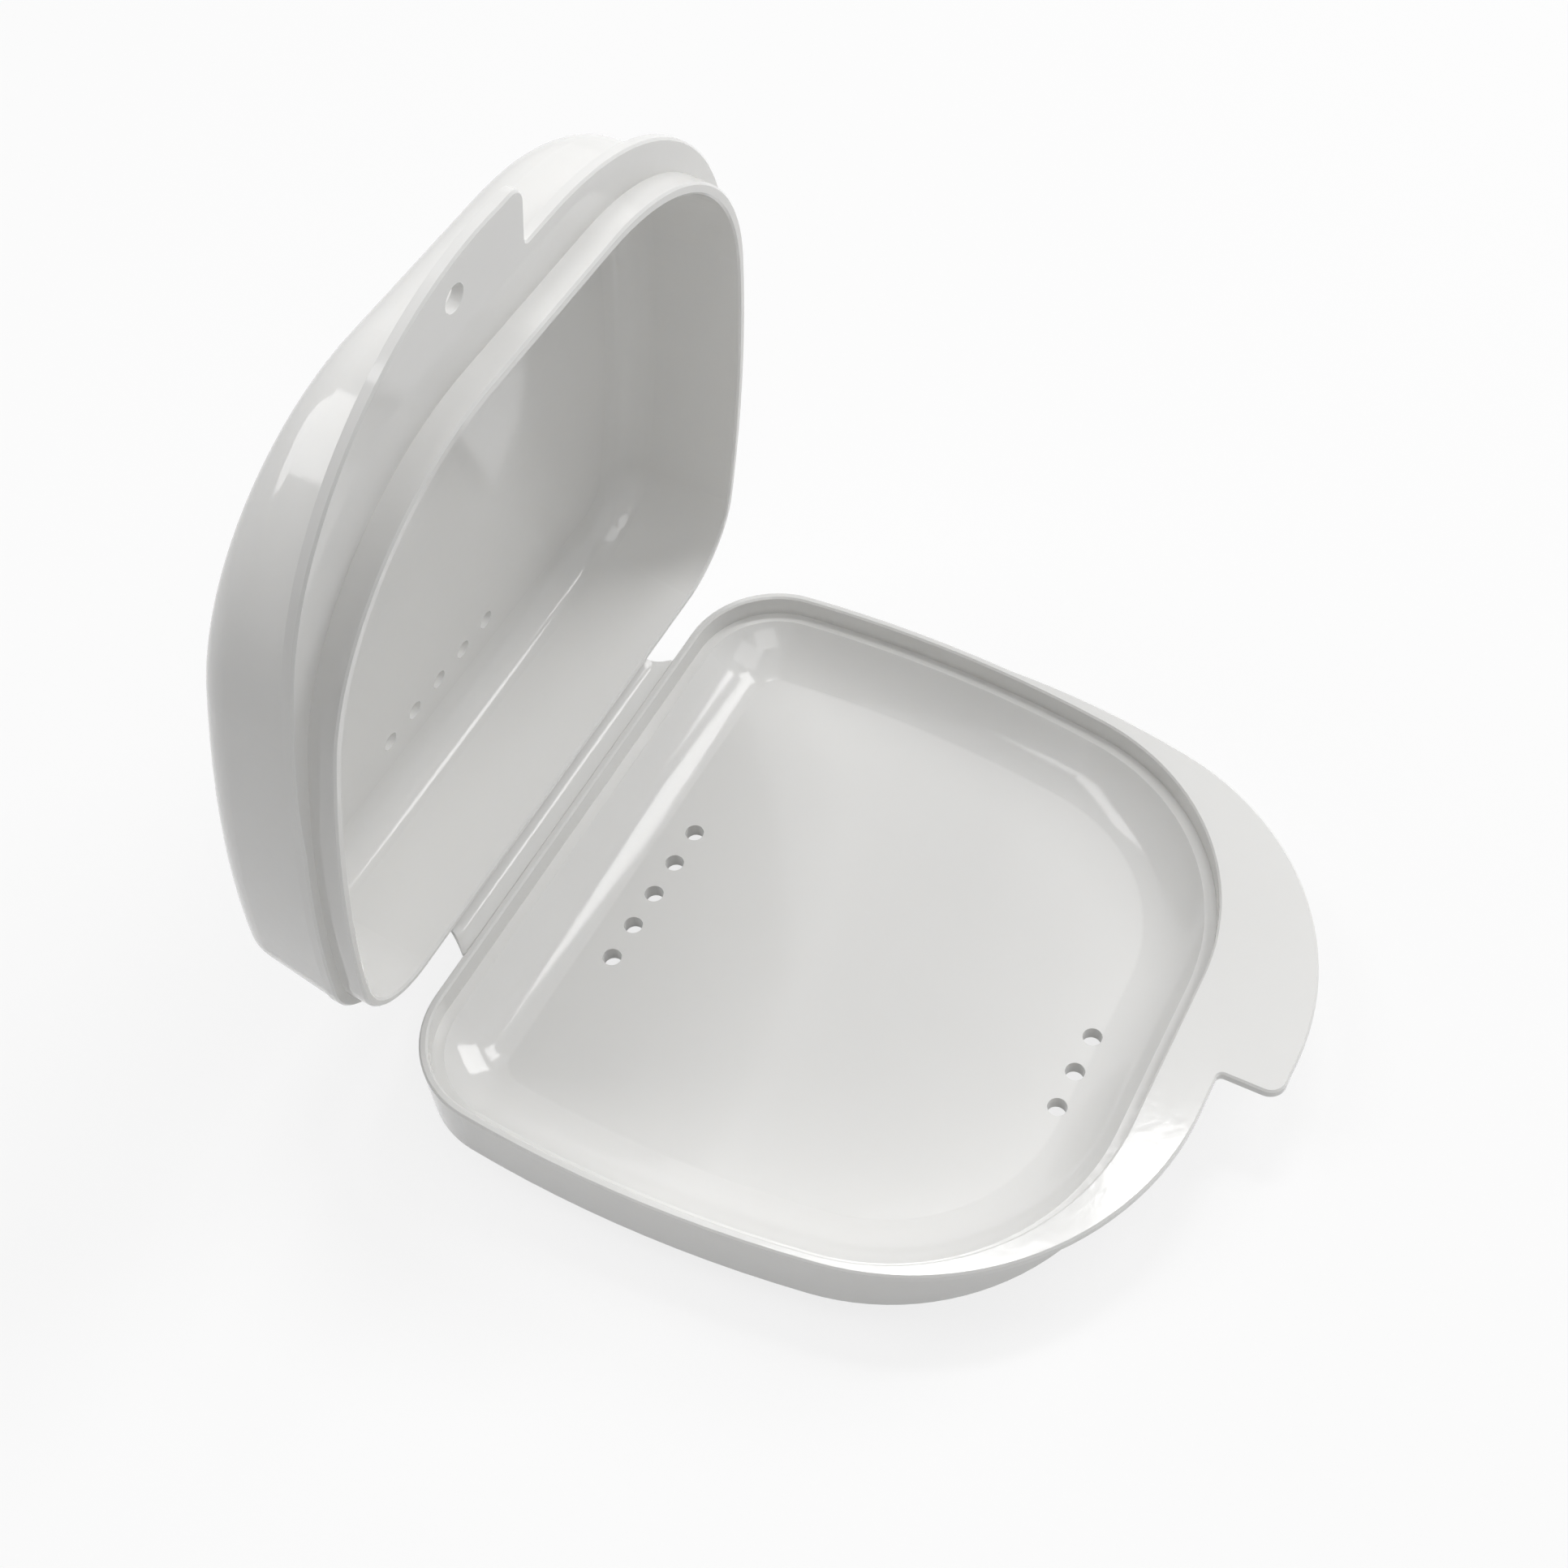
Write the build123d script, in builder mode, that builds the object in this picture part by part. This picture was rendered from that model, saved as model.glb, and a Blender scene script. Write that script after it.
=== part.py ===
"""Pocket case for a mouth guard: a shallow base tray and a domed lid on a living hinge, shown open.

Frame: X along the hinge, the hinge at +Y and the finger tabs at -Y, +Z up. The origin is the
centre of the tray's flat underside. The lid is drawn where it sits when closed, on a plane that
has been turned about the hinge axis to the open position.
"""
import os

from build123d import *

# outline of both halves at the parting line
back_y = 34.1
front_y = -34.0
side_widest_x = 37.25
side_widest_y = 12.1
side_radius = 144.0
back_corner_radius = 10.4
front_corner_radius = 26.4

# front flange and the finger tab that it widens into on one half
flange_front_y = -38.45
flange_corner_radius = 30.8
flange_thickness = 1.0
tab_side_y = 0.0
tab_shoulder_x = 34.2
tab_shoulder_y = -21.7
tab_front_x = 3.0
tab_front_y = -44.7
tab_overlap_x = 0.2
tab_tip_radius = 1.8
notch_radius = 0.6
cord_hole_x = -9.7
cord_hole_y = -40.9
cord_hole_radius = 1.25

# base tray heights and insets from the outline
floor_thickness = 1.8
ledge_height = 5.2
rim_height = 7.8
rim_edge_bevel = 0.2
base_draft_inset = 0.1
base_bottom_bevel = 0.5
rim_lip_inset = 0.87
cove_outset = 0.6
cove_radius = 10.7
cove_drop = 0.2  # the cove's lowest line under the floor, so that it meets the floor at a crease
crease_radius = 1.0

# lid, measured up from its own parting face
closed_gap = 0.15
lip_outer_inset = 1.15
lip_inner_inset = 2.15
lip_depth = 2.55
lid_crown_thickness = 1.5
lid_dome_inset = 0.08
lid_crown_height = 11.7
lid_crown_tilt = 1.05
lid_trim_height = 1.0  # drawn below the dome's start and cut off level again
lid_draft = 0.093
lid_shoulder_radius = 4.1
lid_inner_radius = 4.0

# vent holes, in a back row and a front row, moulded a little off the middle
vent_radius = 1.0
vent_pitch = 4.4
back_vent_count = 5
front_vent_count = 3
base_vent_x = -3.0
lid_vent_x = -2.4
back_vent_y = 22.9
front_vent_y = -25.2
lid_front_vent_y = -22.0

# living hinge
hinge_y = 37.8
hinge_above_rim = 0.7
open_angle = 82.9
web_centre_x = 0.5
web_half_length = 21.5
web_waist_half_length = 19.8
web_waist_radius = 3.5
web_thickness = 0.5
web_below_face = 0.65
web_bend_radius = 3.0

parting_height = rim_height + closed_gap
hinge_height = rim_height + hinge_above_rim
lid_frame = Pos(0, hinge_y, hinge_height) * Rot(X=-open_angle) * Pos(0, -hinge_y, -hinge_height)
lid_plane = Plane(lid_frame)
dome_plane = Plane(lid_frame * Pos(0, 0, parting_height) * Rot(X=lid_crown_tilt))
lid_up = Axis(lid_plane.origin, lid_plane.z_dir)


def side_x(y):
    """Half width of the outline's bowed side at a given y."""
    return side_widest_x - side_radius + (side_radius**2 - (y - side_widest_y) ** 2) ** 0.5


def case_outline(inset=0.0):
    """Outline of a half at the parting line, drawn in by an inset."""
    with BuildSketch() as outline:
        with BuildLine():
            back_corner = (side_x(back_y), back_y)
            front_corner = (side_x(front_y), front_y)
            side = ThreePointArc(back_corner, (side_widest_x, side_widest_y), front_corner)
            mirror(side, about=Plane.YZ)
            Line(back_corner, (-back_corner[0], back_y))
            Line(front_corner, (-front_corner[0], front_y))
        make_face()
        fillet(outline.vertices().group_by(Axis.Y)[-1], back_corner_radius)
        fillet(outline.vertices().group_by(Axis.Y)[0], front_corner_radius)
        if inset:
            offset(amount=-inset, mode=Mode.REPLACE)
    return outline.sketch


def flange_outline(tab_side):
    """Outline with its front flange, and the finger tab on the +X (1) or -X (-1) half."""
    with BuildSketch() as flange:
        with BuildLine():
            corner_x = side_x(flange_front_y)
            side = ThreePointArc(
                (side_x(0), 0), (side_x(flange_front_y / 2), flange_front_y / 2), (corner_x, flange_front_y)
            )
            mirror(side, about=Plane.YZ)
            Line((side_x(0), 0), (-side_x(0), 0))
            Line((corner_x, flange_front_y), (-corner_x, flange_front_y))
        make_face()
        fillet(flange.vertices().group_by(Axis.Y)[0], flange_corner_radius)
        with BuildLine():
            side_start = (tab_side * side_x(tab_side_y), tab_side_y)
            shoulder = (tab_side * tab_shoulder_x, tab_shoulder_y)
            front = (tab_side * tab_front_x, tab_front_y)
            notch_x = -tab_side * tab_overlap_x
            side_edge = TangentArc(side_start, shoulder, tangent=(0, -1))
            TangentArc(shoulder, front, tangent=side_edge % 1)
            Polyline(front, (notch_x, tab_front_y), (notch_x, tab_side_y), side_start)
        make_face()
        tab_tip = flange.vertices().sort_by_distance((notch_x, tab_front_y))[0]
        fillet(tab_tip, tab_tip_radius)
        notch = flange.vertices().sort_by_distance((notch_x, flange_front_y))[0]
        fillet(notch, notch_radius)
        add(case_outline())
    return flange.sketch


def vent_rows(vent_x, front_y_of_row):
    """Centres of the back row and the front row of vent holes."""
    rows = []
    for row_y, count in ((back_vent_y, back_vent_count), (front_y_of_row, front_vent_count)):
        for index in range(count):
            rows.append((vent_x + (index - (count - 1) / 2) * vent_pitch, row_y))
    return rows


def make_tray_cavity():
    """Space over the floor, up to the ledge: a broad cove that meets the floor at a softened crease."""
    with BuildPart() as cavity:
        with BuildSketch(Plane.XY.offset(floor_thickness - cove_drop)):
            add(case_outline(-cove_outset))
        extrude(amount=cove_radius + cove_drop)
        fillet(cavity.faces().sort_by(Axis.Z)[0].edges(), cove_radius)
        split(bisect_by=Plane.XY.offset(floor_thickness), keep=Keep.TOP)
        fillet(cavity.faces().sort_by(Axis.Z)[0].edges(), crease_radius)
        split(bisect_by=Plane.XY.offset(ledge_height), keep=Keep.BOTTOM)
    return cavity


def make_base_tray():
    """Shallow tray with a rabbeted rim and a flush front flange."""
    cavity = make_tray_cavity()
    with BuildPart() as base_tray:
        flange_bottom = rim_height - flange_thickness
        with BuildSketch():
            add(case_outline(base_draft_inset))
        with BuildSketch(Plane.XY.offset(flange_bottom)):
            add(case_outline())
        loft()
        chamfer(base_tray.faces().sort_by(Axis.Z)[0].edges(), base_bottom_bevel)
        with BuildSketch(Plane.XY.offset(flange_bottom)):
            add(flange_outline(1))
        extrude(amount=flange_thickness)

        add(cavity.part, mode=Mode.SUBTRACT)
        with BuildSketch(Plane.XY.offset(ledge_height)):
            add(case_outline(rim_lip_inset))
        extrude(amount=rim_height, mode=Mode.SUBTRACT)
        chamfer(base_tray.faces().sort_by(Axis.Z)[-1].edges(), rim_edge_bevel)

        with BuildSketch():
            with Locations(vent_rows(base_vent_x, front_vent_y)):
                Circle(vent_radius)
        extrude(amount=rim_height, mode=Mode.SUBTRACT)
    return base_tray


def make_dome(inset, start_height, wall, shoulder_radius):
    """Block under the lid's sloping crown, its inset taken at the parting face and growing with height."""
    crown_height = lid_crown_height - wall
    below = start_height - parting_height - lid_trim_height
    with BuildPart() as dome:
        with BuildSketch(dome_plane.offset(below)):
            add(case_outline(inset + lid_draft * below))
        with BuildSketch(dome_plane.offset(crown_height)):
            add(case_outline(inset + lid_draft * crown_height))
        loft()
        fillet(dome.faces().sort_by(lid_up)[-1].edges(), shoulder_radius)
        split(bisect_by=lid_plane.offset(start_height), keep=Keep.TOP)
    return dome


def make_lid():
    """Domed lid with its locating lip and its front flange, on the plane of the open lid."""
    cavity_at_parting = lip_inner_inset + lid_draft * lip_depth
    lip_height = parting_height - lip_depth
    cavity = make_dome(cavity_at_parting, lip_height, lid_crown_thickness, lid_inner_radius)
    dome = make_dome(lid_dome_inset, parting_height, 0, lid_shoulder_radius)
    with BuildPart() as lid:
        add(dome.part)
        with BuildSketch(lid_plane.offset(parting_height)):
            add(flange_outline(-1))
        extrude(amount=flange_thickness)
        with BuildSketch(lid_plane.offset(parting_height)):
            add(case_outline(lip_outer_inset))
        extrude(amount=-lip_depth)
        add(cavity.part, mode=Mode.SUBTRACT)

        with BuildSketch(lid_plane.offset(parting_height)):
            with Locations((cord_hole_x, cord_hole_y)):
                Circle(cord_hole_radius)
        extrude(amount=flange_thickness, mode=Mode.SUBTRACT)
        with BuildSketch(lid_plane.offset(parting_height)):
            with Locations(vent_rows(lid_vent_x, lid_front_vent_y)):
                Circle(vent_radius)
        extrude(amount=2 * lid_crown_height, mode=Mode.SUBTRACT)

        lip_face = lid.faces().filter_by(lid_plane).sort_by(lid_up)[0]
        chamfer(lip_face.edges(), rim_edge_bevel)
        parting_face = lid.faces().filter_by(lid_plane).sort_by(lid_up)[1]
        chamfer(parting_face.outer_wire().edges(), rim_edge_bevel)
    return lid


def make_living_hinge():
    """Thin web from the tray's back wall up to the lid's back wall, waisted where it bends."""
    with BuildPart() as living_hinge:
        base_root = Vector(web_centre_x, back_y, rim_height - web_below_face)
        lid_root = lid_plane.from_local_coords(Vector(web_centre_x, back_y, parting_height + web_below_face))
        run = (lid_root.Z - base_root.Z) / lid_plane.y_dir.Z
        corner = lid_root - lid_plane.y_dir * run
        with BuildLine():
            FilletPolyline(base_root, corner, lid_root, radius=web_bend_radius)
        with BuildSketch(Plane(origin=base_root, x_dir=(1, 0, 0), z_dir=(0, 1, 0))):
            Rectangle(2 * web_half_length, web_thickness)
        sweep()

        across = lid_root - base_root
        middle = base_root + across / 2
        waist_plane = Plane(origin=middle, x_dir=(1, 0, 0), z_dir=across.cross(Vector(1, 0, 0)))
        waist_x = web_waist_half_length + web_waist_radius
        with BuildSketch(waist_plane):
            with Locations((-waist_x, 0), (waist_x, 0)):
                Circle(web_waist_radius)
        extrude(amount=across.length, both=True, mode=Mode.SUBTRACT)
    return living_hinge


base_tray = make_base_tray()
base_tray.part.label = "base_tray"
lid = make_lid()
lid.part.label = "lid"
living_hinge = make_living_hinge()
living_hinge.part.label = "living_hinge"

os.makedirs("parts", exist_ok=True)
export_step(base_tray.part, "parts/base_tray.step")
export_step(lid.part, "parts/lid.step")
export_step(living_hinge.part, "parts/living_hinge.step")
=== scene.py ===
import math

import bmesh
import bpy
from mathutils import Matrix, Vector


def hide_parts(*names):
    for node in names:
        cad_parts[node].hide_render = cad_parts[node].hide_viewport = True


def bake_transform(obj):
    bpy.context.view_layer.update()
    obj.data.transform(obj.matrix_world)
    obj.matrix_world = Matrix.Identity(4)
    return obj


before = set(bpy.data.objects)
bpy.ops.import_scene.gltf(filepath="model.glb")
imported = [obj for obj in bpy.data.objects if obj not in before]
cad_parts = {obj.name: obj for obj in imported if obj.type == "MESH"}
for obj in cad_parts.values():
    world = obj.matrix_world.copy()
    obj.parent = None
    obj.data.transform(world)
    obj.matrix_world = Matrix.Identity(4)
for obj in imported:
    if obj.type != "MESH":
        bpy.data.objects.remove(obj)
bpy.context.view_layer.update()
print("frame loaded")

# the photograph's viewpoint, solved from the tray's and the lid's edges
view = {
    "place": (-0.10766, -0.05635, 0.19386),
    "right": (0.46446, -0.88467, -0.04046),
    "down": (-0.72065, -0.35100, -0.59789),
    "lens": 50.36,
    "sensor": 36.0,
    "nearest": 0.01,
    "farthest": 20.0,
}


def makeCamera():
    data = bpy.data.cameras.new("camera")
    data.lens = view["lens"]
    data.sensor_width = view["sensor"]
    data.clip_start = view["nearest"]
    data.clip_end = view["farthest"]
    camera = bpy.data.objects.new("camera", data)
    bpy.context.scene.collection.objects.link(camera)
    right = Vector(view["right"]).normalized()
    up = -Vector(view["down"])
    up = (up - right * up.dot(right)).normalized()
    back = right.cross(up)
    turn = Matrix((right, up, back)).transposed().to_4x4()
    camera.matrix_world = Matrix.Translation(view["place"]) @ turn
    bpy.context.scene.camera = camera


makeCamera()
bpy.context.scene.view_settings.view_transform = "Standard"
print("camera placed")

# white moulded polypropylene, a little translucent
plastic = {
    "colour": (0.803, 0.80, 0.787),
    "shade": (0.770, 0.766, 0.752),
    "shellLift": 1.0,
    "webPaintedLight": 1.04,  # painted light: the thin web's colour is lifted 4% above the shells' same plastic, painting it lighter
    "refraction": 1.49,
    "scatter": 0.12,
    "scatterReach": (0.004, 0.0038, 0.0034),
    "scatterScale": 0.5,
    "cloudScale": 45.0,
    "roughness": 0.09,
    "roughnessSpread": 0.03,
    "rubScale": 260.0,
    "grain": 0.00002,
    "grainScale": 900.0,
    "grainStrength": 0.35,
}


def addNode(tree, kind, **inputs):
    node = tree.nodes.new(kind)
    for name, value in inputs.items():
        node.inputs[name].default_value = value
    return node


def makePlastic(name, lift):
    material = bpy.data.materials.new(name)
    material.use_nodes = True
    tree = material.node_tree
    shader = tree.nodes["Principled BSDF"]
    shader.inputs["IOR"].default_value = plastic["refraction"]
    shader.inputs["Subsurface Weight"].default_value = plastic["scatter"]
    shader.inputs["Subsurface Radius"].default_value = plastic["scatterReach"]
    shader.inputs["Subsurface Scale"].default_value = plastic["scatterScale"]
    place = tree.nodes.new("ShaderNodeTexCoord")

    # slow clouding of the tint, as in flow-moulded plastic
    cloud = addNode(
        tree, "ShaderNodeTexNoise", Scale=plastic["cloudScale"], Detail=3.0, Roughness=0.55
    )
    tint = tree.nodes.new("ShaderNodeMixRGB")
    # lift scales the tint; above 1 it paints the surface lighter than the plastic's own colour
    tint.inputs[1].default_value = (*[c * lift for c in plastic["shade"]], 1)
    tint.inputs[2].default_value = (*[c * lift for c in plastic["colour"]], 1)
    tree.links.new(place.outputs["Object"], cloud.inputs["Vector"])
    tree.links.new(cloud.outputs["Fac"], tint.inputs[0])
    tree.links.new(tint.outputs[0], shader.inputs["Base Color"])

    # uneven gloss and fine rubbing
    rub = addNode(
        tree, "ShaderNodeTexNoise", Scale=plastic["rubScale"], Detail=6.0, Roughness=0.6
    )
    gloss = tree.nodes.new("ShaderNodeMapRange")
    gloss.inputs["To Min"].default_value = plastic["roughness"] - plastic["roughnessSpread"]
    gloss.inputs["To Max"].default_value = plastic["roughness"] + plastic["roughnessSpread"]
    tree.links.new(place.outputs["Object"], rub.inputs["Vector"])
    tree.links.new(rub.outputs["Fac"], gloss.inputs["Value"])
    tree.links.new(gloss.outputs["Result"], shader.inputs["Roughness"])

    # faint moulded texture
    grain = addNode(
        tree, "ShaderNodeTexNoise", Scale=plastic["grainScale"], Detail=4.0, Roughness=0.5
    )
    bump = addNode(
        tree, "ShaderNodeBump", Strength=plastic["grainStrength"], Distance=plastic["grain"]
    )
    tree.links.new(place.outputs["Object"], grain.inputs["Vector"])
    tree.links.new(grain.outputs["Fac"], bump.inputs["Height"])
    tree.links.new(bump.outputs["Normal"], shader.inputs["Normal"])
    return material


shellPlastic = makePlastic("shell_plastic", plastic["shellLift"])
# painted light: the web gets a copy of the shell plastic with its colour lifted, so it renders
# lighter than the shells
webPaintedLighterPlastic = makePlastic("web_plastic_painted_lighter", plastic["webPaintedLight"])
for nodeName in ("base_tray", "lid"):
    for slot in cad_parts[nodeName].material_slots:
        slot.material = shellPlastic
print("shells dressed")

# thin bent web between the two back walls, waisted where it bends
web = {
    "centre": 0.0005,
    "halfLength": 0.0215,
    "waist": 0.0198,
    "waistRadius": 0.0035,
    "thickness": 0.0005,
    "bend": 0.003,
    "turn": math.radians(97.1),
    "baseRoot": Vector((0.0005, 0.0341, 0.00715)),
    "lidRoot": Vector((0.0005, 0.03744, 0.01218)),
    "cellsAlong": 30,
    "cellsOut": 3,
    "bendSteps": 20,
    "lidSteps": 6,
    "nearby": 1e-6,
    "edge": 0.00012,
    "edgeSegments": 2,
    "sharpAngle": 1.0,
    "sharpReach": 0.0006,  # leaves out the long edges that run across the web
}


def webRuns():
    rise = web["lidRoot"].z - web["baseRoot"].z
    lidRun = (rise - web["bend"] * (1 - math.cos(web["turn"]))) / math.sin(web["turn"])
    reach = web["lidRoot"].y - web["baseRoot"].y
    baseRun = reach - lidRun * math.cos(web["turn"]) - web["bend"] * math.sin(web["turn"])
    return baseRun, lidRun


def isSharp(edge):
    first, second = edge.verts
    steep = edge.calc_face_angle(0) > web["sharpAngle"]
    return steep and abs(first.co.x - second.co.x) < web["sharpReach"]


def makeWeb():
    baseRun, lidRun = webRuns()
    start = web["baseRoot"] - Vector((0, 0, web["thickness"] / 2))
    mesh = bmesh.new()
    bmesh.ops.create_grid(mesh, x_segments=web["cellsAlong"], y_segments=web["cellsOut"], size=1)
    bmesh.ops.scale(mesh, vec=(web["halfLength"], baseRun / 2, 1), verts=mesh.verts)
    bmesh.ops.translate(mesh, vec=start + Vector((0, baseRun / 2, 0)), verts=mesh.verts)

    # round the bend, then straight on to the lid
    farthest = start.y + baseRun - web["nearby"]
    far = [e for e in mesh.edges if all(v.co.y > farthest for v in e.verts)]
    centre = start + Vector((0, baseRun, web["bend"] + web["thickness"] / 2))
    turned = bmesh.ops.spin(
        mesh,
        geom=far,
        cent=centre,
        axis=(1, 0, 0),
        angle=web["turn"],
        steps=web["bendSteps"],
        use_duplicate=False,
    )
    last = [g for g in turned["geom_last"] if isinstance(g, bmesh.types.BMEdge)]
    onward = Vector((0, math.cos(web["turn"]), math.sin(web["turn"]))) * lidRun / web["lidSteps"]
    for _ in range(web["lidSteps"]):
        grown = bmesh.ops.extrude_edge_only(mesh, edges=last)["geom"]
        last = [g for g in grown if isinstance(g, bmesh.types.BMEdge)]
        moved = [g for g in grown if isinstance(g, bmesh.types.BMVert)]
        bmesh.ops.translate(mesh, vec=onward, verts=moved)

    # draw the ends in along an arc
    across = (web["lidRoot"] - web["baseRoot"]).normalized()
    middle = (web["lidRoot"] + web["baseRoot"]) / 2
    for vert in mesh.verts:
        fromWaist = min(abs((vert.co - middle).dot(across)), web["waistRadius"])
        half = web["waist"] + web["waistRadius"] - math.sqrt(web["waistRadius"] ** 2 - fromWaist**2)
        shrink = min(half / web["halfLength"], 1)
        vert.co.x = web["centre"] + (vert.co.x - web["centre"]) * shrink

    bmesh.ops.recalc_face_normals(mesh, faces=mesh.faces)
    bmesh.ops.solidify(mesh, geom=mesh.faces, thickness=web["thickness"])
    bmesh.ops.recalc_face_normals(mesh, faces=mesh.faces)
    bmesh.ops.bevel(
        mesh,
        geom=[e for e in mesh.edges if isSharp(e)],
        offset=web["edge"],
        segments=web["edgeSegments"],
        affect="EDGES",
        profile=0.5,
        material=-1,
    )
    data = bpy.data.meshes.new("web_strip")
    mesh.to_mesh(data)
    mesh.free()
    for polygon in data.polygons:
        polygon.use_smooth = True
    piece = bpy.data.objects.new("web_strip", data)
    bpy.context.scene.collection.objects.link(piece)
    data.materials.append(webPaintedLighterPlastic)
    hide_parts("living_hinge")
    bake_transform(piece)


makeWeb()
print("web made")

room = {
    "floorSize": 6.0,
    "floorCells": 8,
    "floorDrop": 0.0034,  # the lid's crown lies 3.2 mm under the tray when it is flat open
    "floorColour": (0.84, 0.84, 0.84),
    "floorRoughness": 0.9,
    "floorShine": 0.1,
    "white": 0.8,  # how far the eye sees the floor as plain white, over its lit surface
    "ambient": 0.03,
}


def seenShare(tree, share):
    path = tree.nodes.new("ShaderNodeLightPath")
    total = path.outputs["Is Camera Ray"]
    for ray in ("Is Glossy Ray", "Is Transmission Ray"):
        both = tree.nodes.new("ShaderNodeMath")
        both.operation = "MAXIMUM"
        tree.links.new(total, both.inputs[0])
        tree.links.new(path.outputs[ray], both.inputs[1])
        total = both.outputs["Value"]
    scaled = tree.nodes.new("ShaderNodeMath")
    scaled.operation = "MULTIPLY"
    scaled.inputs[1].default_value = share
    tree.links.new(total, scaled.inputs[0])
    return scaled.outputs["Value"]


def mixSeen(tree, plain, bright, share, output):
    mix = tree.nodes.new("ShaderNodeMixShader")
    tree.links.new(seenShare(tree, share), mix.inputs["Fac"])
    tree.links.new(plain.outputs[0], mix.inputs[1])
    tree.links.new(bright.outputs[0], mix.inputs[2])
    tree.links.new(mix.outputs[0], output.inputs["Surface"])


def makeFloor():
    mesh = bmesh.new()
    cells = room["floorCells"]
    bmesh.ops.create_grid(mesh, x_segments=cells, y_segments=cells, size=room["floorSize"] / 2)
    bmesh.ops.translate(mesh, vec=(0, 0, -room["floorDrop"]), verts=mesh.verts)
    data = bpy.data.meshes.new("floor")
    mesh.to_mesh(data)
    mesh.free()
    floor = bpy.data.objects.new("floor", data)
    bpy.context.scene.collection.objects.link(floor)
    material = bpy.data.materials.new("floor_paper")
    material.use_nodes = True
    tree = material.node_tree
    shader = tree.nodes["Principled BSDF"]
    shader.inputs["Base Color"].default_value = (*room["floorColour"], 1)
    shader.inputs["Roughness"].default_value = room["floorRoughness"]
    shader.inputs["Specular IOR Level"].default_value = room["floorShine"]
    glow = tree.nodes.new("ShaderNodeEmission")
    mixSeen(tree, shader, glow, room["white"], tree.nodes["Material Output"])
    data.materials.append(material)


def makeWorld():
    world = bpy.data.worlds.new("studio")
    bpy.context.scene.world = world
    world.use_nodes = True
    tree = world.node_tree
    dim = tree.nodes["Background"]
    dim.inputs["Color"].default_value = (1, 1, 1, 1)
    dim.inputs["Strength"].default_value = room["ambient"]
    white = addNode(tree, "ShaderNodeBackground", Color=(1, 1, 1, 1), Strength=1.0)
    mixSeen(tree, dim, white, 1.0, tree.nodes["World Output"])


# softboxes on a dome about the case, by compass and height in degrees, power in watts
lamps = {
    "distance": 1.0,
    "aim": (0, 0, 0.03),
    "boxes": [
        {"name": "key", "compass": -25, "height": 33, "size": (0.5, 0.4), "power": 3.9},
        {"name": "front", "compass": -80, "height": 58, "size": (0.5, 0.5), "power": 1.4},
        {"name": "strip", "compass": -26, "height": 56, "size": (0.26, 0.20), "power": 1.0},
        {"name": "ceiling", "compass": 30, "height": 70, "size": (0.26, 0.08), "power": 2.2},
        {"name": "glint", "compass": 5, "height": 64, "size": (0.06, 0.06), "power": 0.45},
        {"name": "rear", "compass": 105, "height": 53, "size": (0.5, 0.5), "power": 3.1},
        {"name": "near", "compass": 225, "height": 55, "size": (0.45, 0.45), "power": 1.4},
    ],
}


def makeLamp(box):
    data = bpy.data.lights.new(box["name"], "AREA")
    data.shape = "RECTANGLE"
    data.size, data.size_y = box["size"]
    data.energy = box["power"]
    lamp = bpy.data.objects.new(box["name"], data)
    bpy.context.scene.collection.objects.link(lamp)
    compass = math.radians(box["compass"])
    height = math.radians(box["height"])
    level = math.cos(height)
    away = Vector((level * math.cos(compass), level * math.sin(compass), math.sin(height)))
    place = Vector(lamps["aim"]) + away * lamps["distance"]
    facing = (-away).to_track_quat("-Z", "Y").to_matrix().to_4x4()
    lamp.matrix_world = Matrix.Translation(place) @ facing


makeFloor()
makeWorld()
for box in lamps["boxes"]:
    makeLamp(box)
print("room lit")
